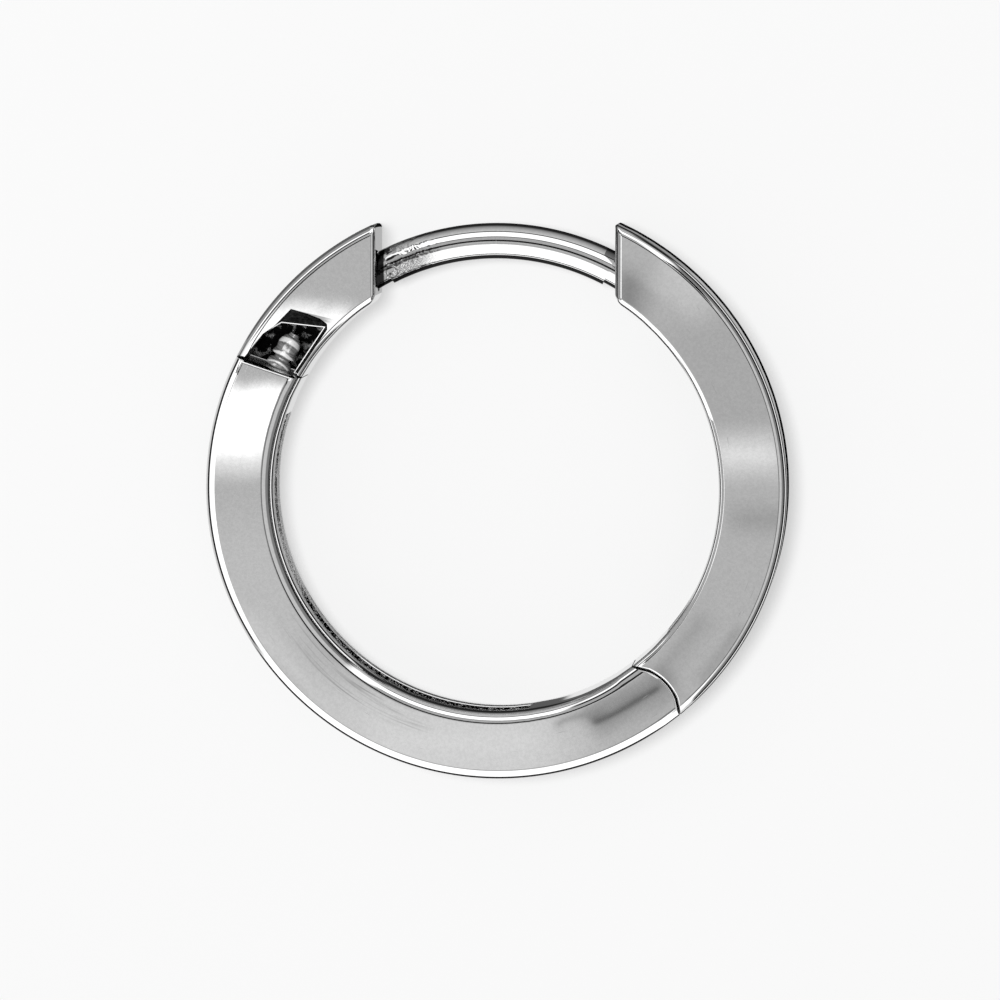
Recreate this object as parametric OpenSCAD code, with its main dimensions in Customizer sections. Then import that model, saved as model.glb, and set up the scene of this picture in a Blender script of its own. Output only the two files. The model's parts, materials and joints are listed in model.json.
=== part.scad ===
// Hinged creole hoop earring, lying on its side with the hoop's axis upright.
// Millimetres. The ring's centre is the centre of all polar sizes below, angles run
// anticlockwise from +X, and the whole part is then moved so that its box stands on the origin.

/* [Hoop] */
// Outside diameter of the hoop
hoop_d = 15; // [13:0.5:30]
// Thickness of the band, from its outer to its inner wall
band_t = 1.75; // [1.65:0.05:2.2]
// Depth of the band, along the hoop's axis
band_w = 1.9; // [1.7:0.1:3]
// Rounding of the band's long edges
edge_r = 0.2; // [0.1:0.05:0.3]
// Distance of each upright end face from the middle of the hoop
end_x = 3.08; // [2.6:0.05:3.6]

/* [Channel in the inner wall] */
// Width of the channel, along the hoop's axis
channel_w = 0.8; // [0.4:0.05:1.1]
// Depth of the channel below the inner wall
channel_depth = 0.45; // [0.2:0.05:0.6]
// Plain inner wall between the straight seam and the channel of the back arm
channel_from_seam = 0.9; // [0.8:0.1:3]
// Plain inner wall between the hinge pin and the channel of the back arm
channel_from_pin_back = 2.2; // [1.6:0.1:4]
// Plain inner wall between the hinge pin and the channel of the front arm
channel_from_pin_front = 2.0; // [1.6:0.1:4]
// Plain inner wall between the channel of the front arm and the top of the hoop
channel_from_top = 4.6; // [4.3:0.1:7]

/* [Hinge] */
// Angle of the hinge pin around the hoop
pin_a = -59.6; // [-75:0.1:-45]
// Depth of the pin's centre below the outer wall
pin_inset = 0.7; // [0.65:0.01:0.8]
// Diameter of the hinge pin
pin_d = 0.5; // [0.4:0.02:0.56]
// Radius of the curved seam, about the pin
seam_r = 1.32; // [1.2:0.02:1.5]
// Radius of the tongue's round end, about the pin
knuckle_r = 0.6; // [0.5:0.01:0.62]
// Thickness of the tongue, along the pin
tongue_w = 0.7; // [0.5:0.05:0.9]
// Width of the tongue where it joins the front arm
neck_w = 1.06; // [0.9:0.02:1.16]
// Metal left over the blind end of the pin's bore
pin_skin = 0.3; // [0.2:0.05:0.4]
// How far the front arm opens, in degrees
open_a = 45; // [20:1:60]

/* [Ear wire] */
// Diameter of the ear wire
wire_d = 0.92; // [0.8:0.02:1.0]
// Depth of the wire's centre line below the hoop's outer wall
wire_inset = 1.14; // [1.0:0.02:1.16]
// Diameter of the wire's reduced ends
tip_d = 0.8; // [0.7:0.02:0.8]
// Length of the free tip inside the catch block
tip_in = 0.8; // [0.4:0.05:0.9]
// Length of the fixed end inside the front arm
root_in = 0.8; // [0.5:0.05:1.2]
// Neck that shows between the block's end face and the wire's shoulder
neck_show = 0.16; // [0.1:0.02:0.3]

/* [Catch] */
// Angle of the straight seam around the hoop, at the middle of the band
catch_a = 151.9; // [145:0.1:155]
// How far the straight seam is turned from the radius, in degrees
catch_turn = 9.5; // [0:0.1:12]
// Length of the window along the band
window_l = 1.9; // [1.7:0.02:2.1]
// Depth of the window below the side face
window_depth = 1.45; // [1.4:0.01:1.5]
// Depth of the ledge beside the stud, below the side face
ledge_depth = 0.4; // [0.3:0.02:0.6]
// Slope of the ramp that rises from the ledge to the window's far end, in degrees
ramp_slope = 40; // [30:1:42]
// Diameter of the stud's ribs
stud_d = 0.66; // [0.56:0.02:0.7]
// Height of the stud above the end of the back arm
stud_h = 1.0; // [0.9:0.01:1.02]
// Distance of the stud's axis from the inner wall
stud_inset = 0.74; // [0.7:0.01:0.8]
// Length of the stud's root inside the back arm
stud_root = 0.5; // [0.3:0.05:0.6]

/* [Clearances] */
// Gap between the two faces of each seam
seam_gap = 0.03; // [0.02:0.01:0.08]
// Gap round a piece that is fixed in its seat
seat_gap = 0.015; // [0.01:0.005:0.03]
// Running gap round the pin
pin_gap = 0.03; // [0.02:0.01:0.05]
// Gap between the tongue and the cheeks, and round its knuckle
tongue_gap = 0.05; // [0.03:0.01:0.06]
// Gap round the free tip in its socket
socket_gap = 0.05; // [0.04:0.01:0.08]

/* [Hidden] */
$fn = 96;
silver = [0.80, 0.80, 0.81];
silver_wire = [0.72, 0.72, 0.74];
// Extra reach of a cutting shape past the metal that it cuts
over = 0.5;

hoop_r = hoop_d / 2;
bore_r = hoop_r - band_t;
mid_r = hoop_r - band_t / 2;
mid_z = band_w / 2;
far = hoop_d;

// The hoop's top is open, so the box's middle lies below the ring's centre
wire_r = hoop_r - wire_inset;
top_y = max(wire_r + wire_d / 2, sqrt(hoop_r * hoop_r - end_x * end_x));
centre_y = (hoop_r - top_y) / 2;

pin_r = hoop_r - pin_inset;
neck_dir = pin_a + 90;
slot_half = neck_w / 2 + tongue_gap;
// The slot lets the tongue turn a little further than the arm opens
slot_a = open_a + 6;

// Angles at which the wire's centre line meets the two upright end faces
face_a = acos(end_x / wire_r);
shoulder_a = acos((end_x - neck_show) / wire_r);
tip_a = face_a - degrees_at(tip_in, wire_r);
root_a = face_a - degrees_at(root_in, wire_r);
seat_a = root_a - degrees_at(seat_gap, wire_r);
socket_a = tip_a - degrees_at(socket_gap, wire_r);

catch_dir = catch_a + catch_turn;
stud_root_d = stud_d * 0.6;

// Corners of the window: share of the band's thickness from the inner wall, share of window_l
WINDOW = [
    [0.93, -0.20],
    [0.82, 0.34],
    [0.75, 0.51],
    [0.715, 0.81],
    [0.49, 0.91],
    [0.30, 0.985],
    [0.174, 1.00],
    [0.115, 0.94],
    [0.115, -0.20]
];

// Corners of the deep part round the stud, in the same shares
DEEP = [
    [0.93, -0.20],
    [0.82, 0.34],
    [0.74, 0.53],
    [0.19, 0.89],
    [0.19, -0.20]
];
// Its far side, from the outer wall inwards, is the foot of the ramp
RAMP_FOOT = [DEEP[2], DEEP[3]];

// Stud: radius as a share of stud_d / 2, lower end and upper end as shares of stud_h
STUD = [
    [0.96, 0.09, 0.36],
    [0.76, 0.36, 0.44],
    [1.00, 0.44, 0.60],
    [0.92, 0.60, 0.80],
    [0.98, 0.80, 0.92],
    [0.66, 0.92, 1.00]
];

function degrees_at(length, radius) = length / radius * 180 / PI;
function polar(radius, angle) = [radius * cos(angle), radius * sin(angle)];
// A corner's place in the plane of the hoop
function corner(c) = polar(bore_r + c[0] * band_t, catch_a - degrees_at(c[1] * window_l, mid_r));

// Moves a piece from the ring's centre to the part's own frame
module placed() {
    translate([0, centre_y, 0]) children();
}

// Square section with rounded corners, in the half plane of a turned shape
module band_section() {
    translate([bore_r + edge_r, 0]) square([band_t - 2 * edge_r, band_w]);
    translate([bore_r, edge_r]) square([band_t, band_w - 2 * edge_r]);
    for (x = [bore_r + edge_r, hoop_r - edge_r], z = [edge_r, band_w - edge_r]) {
        translate([x, z]) circle(r = edge_r);
    }
}

module band() {
    rotate_extrude($fn = 180) band_section();
}

// Wedge of the plane between two angles, taller than the band
module wedge(from_a, to_a) {
    steps = 6;
    rim = [for (i = [0:steps]) polar(2 * far, from_a + (to_a - from_a) * i / steps)];
    translate([0, 0, -over]) linear_extrude(band_w + 2 * over) polygon(concat([[0, 0]], rim));
}

// Everything beyond an upright end face, on the open side of the hoop's top
module gap_side(x_sign) {
    translate([x_sign > 0 ? -far + end_x : -end_x, -far, -over])
        cube([far, 2 * far, band_w + 2 * over]);
}

// Half space on the back arm's side of the straight seam, moved towards the block by a gap
module below_catch_seam(gap) {
    translate(polar(mid_r, catch_a)) rotate(catch_dir)
        translate([-far, -gap, -over]) cube([2 * far, far, band_w + 2 * over]);
}

// Half space on the other side, that of the block
module above_catch_seam() {
    translate(polar(mid_r, catch_a)) rotate(catch_dir)
        translate([-far, -far, -over]) cube([2 * far, far, band_w + 2 * over]);
}

// Cylinder about the pin's axis between two heights
module about_pin(radius, z_from, z_to) {
    translate(polar(pin_r, pin_a)) translate([0, 0, z_from])
        cylinder(r = radius, h = z_to - z_from);
}

// Frame at the pin: +X runs up the front arm, +Y points to the middle of the hoop
module at_pin(z) {
    translate(polar(pin_r, pin_a)) rotate(neck_dir) translate([0, 0, z]) children();
}

// Frame of the stud: +Z runs along the band, from the back arm's end into the block
module at_stud() {
    translate(polar(bore_r + stud_inset, catch_a)) rotate(catch_a) translate([0, 0, mid_z])
        rotate([90, 0, 0]) children();
}

// Lengthwise channel in the inner wall between two angles
module channel(from_a, to_a) {
    rotate(from_a) rotate_extrude(angle = to_a - from_a, $fn = 180)
        translate([bore_r - over, mid_z - channel_w / 2]) square([channel_depth + over, channel_w]);
}

// Round bar along the wire's centre line, with angles counted from +X
module wire_arc(radius, from_a, to_a) {
    rotate(from_a) rotate_extrude(angle = to_a - from_a, $fn = 180)
        translate([wire_r, mid_z]) circle(r = radius);
}

// Opening for the tongue: its round end, and its neck's sweep out through the outer wall
module tongue_slot() {
    swing = [-slot_half * sin(slot_a), -slot_half * cos(slot_a)];
    reach = 2 * seam_r;
    at_pin(mid_z - tongue_w / 2 - tongue_gap) linear_extrude(tongue_w + 2 * tongue_gap) {
        circle(r = knuckle_r + tongue_gap);
        polygon([
            [0, slot_half],
            [reach, slot_half],
            [reach, -reach],
            swing + reach * [cos(slot_a), -sin(slot_a)],
            swing
        ]);
    }
}

// Upright hole with the given corners, sunk in the side face to a depth
module sunk(table, depth) {
    translate([0, 0, band_w - depth]) linear_extrude(depth + over)
        polygon([for (c = table) corner(c)]);
}

// Space over the ramp, a plane that rises from its foot at the ledge's depth
module over_ramp() {
    foot = [corner(RAMP_FOOT[0]), corner(RAMP_FOOT[1])];
    run = foot[1] - foot[0];
    translate([foot[0][0], foot[0][1], band_w - ledge_depth]) rotate(atan2(run[1], run[0]))
        rotate([ramp_slope, 0, 0]) translate([-far, -far, 0]) cube([2 * far, 2 * far, far]);
}

// Window in the block: a ramp at its far end and a ledge, then deep round the stud
module window() {
    intersection() {
        sunk(WINDOW, ledge_depth);
        over_ramp();
    }
    sunk(DEEP, window_depth);
}

module back_arm() {
    color(silver) placed() difference() {
        union() {
            intersection() {
                band();
                wedge(catch_a - catch_turn, 360 + pin_a);
            }
            intersection() {
                band();
                about_pin(seam_r, -over, band_w + over);
            }
        }
        above_catch_seam();
        tongue_slot();
        about_pin(pin_d / 2 + seat_gap, -over, band_w - pin_skin);
        channel(catch_a + degrees_at(channel_from_seam, bore_r),
            360 + pin_a - degrees_at(channel_from_pin_back, bore_r));
        at_stud() translate([0, 0, -stud_root - seat_gap])
            cylinder(d = stud_root_d + 2 * seat_gap, h = stud_root + over);
    }
}

module catch_block() {
    color(silver) placed() difference() {
        intersection() {
            band();
            wedge(90, 180);
        }
        gap_side(-1);
        below_catch_seam(seam_gap);
        window();
        wire_arc(tip_d / 2 + socket_gap, 90, 180 - socket_a);
    }
}

// Turned stud: a root in the arm's end, then ribs and grooves of its table
module catch_stud() {
    color(silver_wire) placed() at_stud() {
        translate([0, 0, -stud_root]) cylinder(d = stud_root_d, h = stud_root + STUD[0][2] * stud_h);
        for (rib = STUD) {
            translate([0, 0, rib[1] * stud_h])
                cylinder(d = rib[0] * stud_d, h = (rib[2] - rib[1]) * stud_h);
        }
    }
}

module hinge_pin() {
    color(silver_wire) placed() about_pin(pin_d / 2, seat_gap, band_w - pin_skin - seat_gap);
}

module front_arm() {
    color(silver) placed() difference() {
        union() {
            difference() {
                intersection() {
                    band();
                    wedge(pin_a, 90);
                }
                gap_side(1);
                about_pin(seam_r + seam_gap, -over, band_w + over);
            }
            at_pin(mid_z - tongue_w / 2) linear_extrude(tongue_w) {
                circle(r = knuckle_r);
                translate([0, -neck_w / 2]) square([seam_r + over / 2, neck_w]);
            }
        }
        about_pin(pin_d / 2 + pin_gap, -over, band_w + over);
        channel(pin_a + degrees_at(channel_from_pin_front, bore_r),
            90 - degrees_at(channel_from_top, bore_r));
        wire_arc(tip_d / 2 + seat_gap, seat_a, 90);
    }
}

module ear_wire() {
    color(silver_wire) placed() {
        wire_arc(wire_d / 2, shoulder_a, 180 - shoulder_a);
        wire_arc(tip_d / 2, root_a, 180 - tip_a);
    }
}

back_arm();
catch_block();
catch_stud();
hinge_pin();
front_arm();
ear_wire();
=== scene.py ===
import json
import math

import bmesh
import bpy
from mathutils import Matrix, Vector


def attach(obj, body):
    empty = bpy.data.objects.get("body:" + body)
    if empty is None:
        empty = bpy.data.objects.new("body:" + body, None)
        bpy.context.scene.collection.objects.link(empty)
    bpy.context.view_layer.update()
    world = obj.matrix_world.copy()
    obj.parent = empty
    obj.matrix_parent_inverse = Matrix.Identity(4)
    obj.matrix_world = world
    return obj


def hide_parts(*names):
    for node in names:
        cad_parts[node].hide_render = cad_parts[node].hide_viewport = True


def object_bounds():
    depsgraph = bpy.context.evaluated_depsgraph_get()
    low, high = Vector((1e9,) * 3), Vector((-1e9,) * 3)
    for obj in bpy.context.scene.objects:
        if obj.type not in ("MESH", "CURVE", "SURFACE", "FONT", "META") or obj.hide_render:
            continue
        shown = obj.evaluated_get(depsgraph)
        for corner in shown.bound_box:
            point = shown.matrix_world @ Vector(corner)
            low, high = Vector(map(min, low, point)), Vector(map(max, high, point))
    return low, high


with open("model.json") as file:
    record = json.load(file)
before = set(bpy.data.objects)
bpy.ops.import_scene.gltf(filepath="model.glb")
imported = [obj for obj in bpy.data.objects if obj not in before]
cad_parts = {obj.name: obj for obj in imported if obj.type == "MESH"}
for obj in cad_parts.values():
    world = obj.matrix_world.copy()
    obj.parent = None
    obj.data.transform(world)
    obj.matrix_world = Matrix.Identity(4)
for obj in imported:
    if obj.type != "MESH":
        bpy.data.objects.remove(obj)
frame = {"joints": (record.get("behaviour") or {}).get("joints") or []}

cad_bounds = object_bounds()

# Studio
# The earring lies on its side on a pale table lit from below, with a soft light almost overhead.
# The metal mirrors a light tent of white walls with dark gaps, and a grey sheet overhead.
METRES_PER_MM = 0.001
band_w = (Vector(cad_bounds[1]) / METRES_PER_MM).z
hoop_d = 15.0
hoop_r = hoop_d / 2
pin_a, pin_inset = -59.6, 0.7
pin_r = hoop_r - pin_inset
hinge_place = Vector(frame["joints"][0]["pos_m"]) / METRES_PER_MM
hoop_middle = Vector((0, hinge_place.y - pin_r * math.sin(math.radians(pin_a)), 0))

camera_distance = 143.8
camera_lean_x, camera_lean_y = 4.8, 4.7
camera_aim = Vector((0.139, -0.259, 0))
front_middle = hoop_middle + Vector((0, 0, band_w))
camera_way = Vector((
    math.tan(math.radians(camera_lean_x)), math.tan(math.radians(camera_lean_y)), 1)).normalized()
camera_height = camera_distance * camera_way.z
camera_data = bpy.data.cameras.new("photo_camera")
camera_data.sensor_width = 36.0
camera_data.lens = 201.6
camera_data.clip_start = 0.001
camera = bpy.data.objects.new("photo_camera", camera_data)
bpy.context.scene.collection.objects.link(camera)
camera_place = front_middle + camera_way * camera_distance
view_line = camera_place - (front_middle + camera_aim)
camera_right = Vector((0, 1, 0)).cross(view_line).normalized()
camera_up = view_line.normalized().cross(camera_right)
camera.matrix_world = Matrix.Translation(camera_place * METRES_PER_MM) @ Matrix(
    (camera_right, camera_up, view_line.normalized())).transposed().to_4x4()
bpy.context.scene.camera = camera
bpy.context.scene.view_settings.view_transform = "Standard"


def add_node(tree, kind, **settings):
    """Adds a node, sets its properties, and gives its inputs the values under their names or places."""
    node = tree.nodes.new(kind)
    inputs = settings.pop("inputs", {})
    for name, value in settings.items():
        setattr(node, name, value)
    for key, value in inputs.items():
        if isinstance(value, bpy.types.NodeSocket):
            tree.links.new(value, node.inputs[key])
        else:
            node.inputs[key].default_value = value
    return node


def math_node(tree, operation, first, second=0.0, third=0.0):
    """One step of arithmetic; returns its result."""
    return add_node(tree, "ShaderNodeMath", operation=operation,
                    inputs={0: first, 1: second, 2: third}).outputs[0]


def smooth_step(tree, value, start, end):
    """Runs smoothly from 0 at start to 1 at end."""
    return add_node(tree, "ShaderNodeMapRange", interpolation_type="SMOOTHSTEP",
                    inputs={"Value": value, "From Min": start, "From Max": end}).outputs["Result"]


def mix_colours(tree, share, first, second):
    """Blend of two colours, each given as a colour or as a grey tone."""
    first, second = ((tone, tone, tone, 1) if isinstance(tone, float) else tone
                     for tone in (first, second))
    return add_node(tree, "ShaderNodeMix", data_type="RGBA",
                    inputs={0: share, 6: first, 7: second}).outputs[2]


world = bpy.data.worlds.new("light_tent")
bpy.context.scene.world = world
world.use_nodes = True
sky = world.node_tree
sky.nodes.clear()
ray = add_node(sky, "ShaderNodeTexCoord").outputs["Generated"]
ray_x, ray_y, ray_z = add_node(sky, "ShaderNodeSeparateXYZ", inputs={0: ray}).outputs
from_zenith = math_node(sky, "DIVIDE", math_node(sky, "ARCCOSINE", ray_z), math.pi)
aside = math_node(sky, "SQRT", math_node(
    sky, "SUBTRACT", 1.0001, math_node(sky, "MULTIPLY", ray_z, ray_z)))


def tent_wall(stops):
    """Tones of one wall of the tent, by the angle from straight above, in degrees."""
    ramp = add_node(sky, "ShaderNodeValToRGB", inputs={"Fac": from_zenith})
    points = ramp.color_ramp.elements
    while len(points) < len(stops):
        points.new(1.0)
    for point, (degrees, tone) in zip(points, stops):
        point.position = degrees / 180
        point.color = (tone, tone, tone, 1)
    return ramp.outputs["Color"]


wall_blend = 3
tent = tent_wall([(0, 0.42), (5, 0.42), (8, 0.18), (12, 0.62), (40, 0.60), (45, 0.24), (69, 0.20),
                  (71, 0.01), (96, 0.01), (98, 1.2), (110, 1.2), (112, 0.01), (132, 0.01),
                  (136, 0.32), (180, 0.50)])
for middle, half_width, stops in [
        (86.5, 32.5, [(0, 0.45), (27, 0.45), (28, 0.05), (31, 0.05), (32, 1.4), (61, 1.4), (62, 0.03),
                      (67, 0.03), (69, 0.65), (100, 0.35), (116, 0.12), (121, 0.02), (172, 0.02),
                      (180, 0.60)]),
        (57.5, 4.5, [(0, 0.45), (8, 0.45), (12, 1.3), (60, 1.3), (66, 0.60), (82, 0.50), (88, 0.02),
                     (134, 0.02), (140, 0.20), (166, 0.34), (180, 0.36)]),
        (138, 19, [(0, 0.45), (33, 0.45), (36, 0.02), (47, 0.02), (50, 1.4), (60, 1.4), (64, 0.35),
                   (88, 0.35), (100, 0.13), (172, 0.10), (180, 0.40)]),
        (187, 29, [(0, 1.4), (72, 1.4), (75, 0.02), (103, 0.02), (106, 0.65), (180, 0.85)]),
        (261, 45, [(0, 0.42), (18, 0.45), (23, 1.4), (99, 1.4), (103, 0.02), (150, 0.03), (160, 0.45),
                   (170, 0.75), (180, 0.80)])]:
    turn = math.radians(middle)
    towards = math_node(sky, "ADD", math_node(sky, "MULTIPLY", ray_x, math.cos(turn)),
                        math_node(sky, "MULTIPLY", ray_y, math.sin(turn)))
    share = smooth_step(sky, math_node(sky, "DIVIDE", towards, aside),
                        math.cos(math.radians(half_width + wall_blend)),
                        math.cos(math.radians(half_width - wall_blend)))
    tent = mix_colours(sky, share, tent, tent_wall(stops))

# Where a ray meets the sheet, in mm from the hoop's middle as the side faces show it to the camera
reach = math_node(sky, "DIVIDE", camera_height, ray_z)
met = add_node(sky, "ShaderNodeVectorMath", operation="SCALE",
               inputs={0: ray, "Scale": reach}).outputs[0]
seen_place = add_node(sky, "ShaderNodeVectorMath", operation="ADD", inputs={
    0: met, 1: camera_way * (camera_height / camera_way.z)}).outputs[0]
overhead = smooth_step(sky, ray_z, 0.90, 0.93)


def panel(x, y, half_x, half_y, soft, turn=0):
    """Soft-edged panel over the sheet, by its middle, its half sizes and its turn."""
    place = add_node(sky, "ShaderNodeMapping", vector_type="TEXTURE", inputs={
        "Vector": seen_place, "Location": (x, y, 0), "Rotation": (0, 0, math.radians(turn))}).outputs[0]
    off = add_node(sky, "ShaderNodeVectorMath", operation="ABSOLUTE", inputs={0: place}).outputs[0]
    off_x, off_y, _ = add_node(sky, "ShaderNodeSeparateXYZ", inputs={0: off}).outputs
    shape = math_node(sky, "MULTIPLY", smooth_step(sky, off_x, half_x + soft, half_x - soft),
                      smooth_step(sky, off_y, half_y + soft, half_y - soft))
    return math_node(sky, "MULTIPLY", shape, overhead)


# The sheet is grey, with brighter and darker patches: each has its tone, and then its panel's sizes
sheet = mix_colours(sky, panel(-1.4, -6.6, 3.4, 1.4, 1.6), 0.50, 0.75)
for tone, *size in [
        (0.57, -6.0, -2.6, 1.6, 1.8, 1.0),
        (0.66, -4.95, -4.95, 2.4, 0.32, 0.50, -45),
        (0.37, 4.80, -4.05, 1.1, 0.15, 0.40, 52),
        (0.34, 5.85, -4.20, 0.9, 0.08, 0.20, 50),
        (0.24, 2.25, -5.90, 0.7, 0.05, 0.12, 18),
        (0.90, -6.7, 1.20, 1.6, 0.78, 0.40),
        (1.50, -6.7, 1.80, 1.6, 0.85, 0.32),
        (1.30, -5.2, 4.2, 1.6, 0.45, 0.35),
        (0.45, 6.2, 2.9, 1.8, 1.6, 0.8),
        (0.37, 7.0, -0.7, 0.9, 0.25, 0.4),
        (0.90, 6.5, 0.95, 1.0, 0.34, 0.65),
        (0.62, 4.9, 5.3, 0.8, 0.5, 0.5, -45),
        (0.26, 3.4, 5.0, 0.4, 0.6, 0.5),
        (0.27, 3.50, -5.42, 1.2, 0.28, 0.35, 29),
        (0.09, 3.38, -5.54, 1.0, 0.07, 0.06, 27)]:
    sheet = mix_colours(sky, panel(*size), sheet, tone)
lit = mix_colours(sky, panel(0, 0, 8.7, 8.7, 0.3), tent, sheet)

# A dark grey cloth hangs past the sheet's right side, and a black one past its far side
lit = mix_colours(sky, panel(22.5, 0, 13.5, 36, 0.6), lit, 0.20)
lit = mix_colours(sky, panel(0, 22.5, 36, 13.5, 0.6), lit, 0.02)

# Light that a matt surface sends on meets an even dim tent, and the camera itself sees a pale wall
ray_kind = add_node(sky, "ShaderNodeLightPath").outputs
lit = mix_colours(sky, math_node(sky, "MINIMUM", ray_kind["Diffuse Depth"], 1.0), lit, 0.2)
lit = mix_colours(sky, ray_kind["Is Camera Ray"], lit, 0.93)
tent_light = add_node(sky, "ShaderNodeBackground", inputs={"Color": lit, "Strength": 1.0})
add_node(sky, "ShaderNodeOutputWorld", inputs={"Surface": tent_light.outputs[0]})

softbox_data = bpy.data.lights.new("softbox", "AREA")
softbox_data.shape = "DISK"
softbox_data.size = 0.09
softbox_data.energy = 0.92
softbox = bpy.data.objects.new("softbox", softbox_data)
softbox.visible_glossy = False
bpy.context.scene.collection.objects.link(softbox)
softbox_place = Vector((-38, 34, 330))
softbox.matrix_world = Matrix.Translation(softbox_place * METRES_PER_MM) @ \
    (softbox_place - hoop_middle).to_track_quat("Z", "Y").to_matrix().to_4x4()

# A small black card by the right arm, seen only in the metal
card_place = Vector((9.4, 10.4, 11.7))
card_half_x, card_half_y = 1.3, 5.6
card_turn, card_lean = -41, 35
bm = bmesh.new()
bmesh.ops.create_grid(bm, x_segments=1, y_segments=1, size=METRES_PER_MM)
bmesh.ops.scale(bm, vec=(card_half_x, card_half_y, 1), verts=bm.verts)
card_mesh = bpy.data.meshes.new("black_card")
bm.to_mesh(card_mesh)
bm.free()
card = bpy.data.objects.new("black_card", card_mesh)
card.visible_camera = card.visible_diffuse = card.visible_shadow = False
bpy.context.scene.collection.objects.link(card)
card.matrix_world = Matrix.Translation((card_place + hoop_middle) * METRES_PER_MM) @ Matrix.Rotation(
    math.radians(card_turn), 4, "Z") @ Matrix.Rotation(math.radians(card_lean), 4, "X")
black = bpy.data.materials.new("black_felt")
black.use_nodes = True
felt = black.node_tree.nodes["Principled BSDF"]
felt.inputs["Base Color"].default_value = (0.005, 0.005, 0.005, 1)
felt.inputs["Roughness"].default_value = 1.0
felt.inputs["Specular IOR Level"].default_value = 0.0
card_mesh.materials.append(black)

# A grey strip above the inner rim of the right arm, and a black ring on the table round the hoop's
# foot, seen only in the metal too: the rim stays grey there, and the black ring is a painted contact
# shadow, so that the outer wall ends in a dark line of painted shadow.
# Each has its two radii and its height in mm, the angle where it starts, its sweep and its tone
for name, low_r, high_r, height, start, sweep, tone in [
        ("grey_strip", 3.0, 5.49, 3.4, 17, -63, 0.40),
        ("painted_shadow_ring", 7.35, 7.57, -0.005, 0, 360, 0.0)]:
    bm = bmesh.new()
    first, last = bm.verts.new((low_r, 0, height)), bm.verts.new((high_r, 0, height))
    bmesh.ops.rotate(bm, verts=bm.verts, matrix=Matrix.Rotation(math.radians(start), 3, "Z"))
    bmesh.ops.contextual_create(bm, geom=[first, last])
    bmesh.ops.spin(bm, geom=bm.edges[:] + bm.verts[:], cent=(0, 0, 0), axis=(0, 0, 1),
                   angle=math.radians(sweep), steps=90, use_merge=sweep == 360)
    strip_mesh = bpy.data.meshes.new(name)
    bm.to_mesh(strip_mesh)
    bm.free()
    strip = bpy.data.objects.new(name, strip_mesh)
    strip.visible_camera = strip.visible_diffuse = strip.visible_shadow = False
    bpy.context.scene.collection.objects.link(strip)
    strip.matrix_world = Matrix.Scale(METRES_PER_MM, 4) @ Matrix.Translation(hoop_middle)
    lit_strip = black.copy()
    lit_strip.name = name + "_felt"
    glow = lit_strip.node_tree.nodes["Principled BSDF"]
    glow.inputs["Emission Color"].default_value = (1, 1, 1, 1)
    glow.inputs["Emission Strength"].default_value = tone
    strip_mesh.materials.append(lit_strip)

table_half, table_gap = 1000, 0.01
bm = bmesh.new()
bmesh.ops.create_grid(bm, x_segments=8, y_segments=8, size=table_half * METRES_PER_MM,
                      matrix=Matrix.Translation((0, 0, -table_gap * METRES_PER_MM)))
table_mesh = bpy.data.meshes.new("pale_table")
bm.to_mesh(table_mesh)
bm.free()
table = bpy.data.objects.new("pale_table", table_mesh)
table.visible_glossy = False
bpy.context.scene.collection.objects.link(table)
table_top = bpy.data.materials.new("lit_table")
table_top.use_nodes = True
top = table_top.node_tree.nodes["Principled BSDF"]
top.inputs["Base Color"].default_value = (0.35, 0.35, 0.35, 1)
top.inputs["Roughness"].default_value = 0.8
top.inputs["Specular IOR Level"].default_value = 0.0
top.inputs["Emission Color"].default_value = (1, 1, 1, 1)
top.inputs["Emission Strength"].default_value = 0.57
table_mesh.materials.append(table_top)

# Back arm
# The lower left half of the hoop: square silver band, cast with a channel in its inner wall, then
# polished until its long edges are round. Its lower end is the fork of the hinge.
band_t = 1.75
bore_r = hoop_r - band_t
mid_r = hoop_r - band_t / 2
mid_z = band_w / 2
outer_rim_r, inner_rim_r, front_rim_r, end_rim_r, face_rim_r = 0.25, 0.32, 0.16, 0.12, 0.18
channel_rim_r, seam_rim_r, arm_end_r, corner_rim_r, tip_rim_r = 0.04, 0.06, 0.12, 0.2, 0.16
widest_rim_r = max(outer_rim_r, inner_rim_r)
rim_steps = 10
corner_room = 0.44
crease, nearby = 0.5, 0.002

catch_a, catch_turn = 151.9, 9.5
pin_d = 0.5
seam_r, seam_gap = 1.32, 0.03
channel_w, channel_depth = 0.8, 0.45
channel_from_seam, channel_from_pin = 0.9, 2.2
cut_over = 0.5


def polar(radius, angle):
    """Point in the plane of the hoop, by its radius and its angle in degrees about the hoop's middle."""
    turn = math.radians(angle)
    return Vector((radius * math.cos(turn), radius * math.sin(turn), 0))


def degrees_at(length, radius):
    """Angle of a length along an arc."""
    return math.degrees(length / radius)


def angle_of(point):
    """Angle of a point about the origin, in degrees from 0 to 360."""
    return math.degrees(math.atan2(point.y, point.x)) % 360


def line_meets(point, way, radius):
    """Where the line through a point, followed along its way, leaves a circle about the hoop's middle."""
    along = point.dot(way)
    return point + way * (-along + math.sqrt(along * along - point.length_squared + radius * radius))


def seam_meets(radius, gap):
    """Angle at which the hinge's curved seam meets a circle about the hoop's middle."""
    reach = seam_r + gap
    return pin_a + math.degrees(math.acos(
        (radius * radius + pin_r * pin_r - reach * reach) / (2 * radius * pin_r)))


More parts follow.
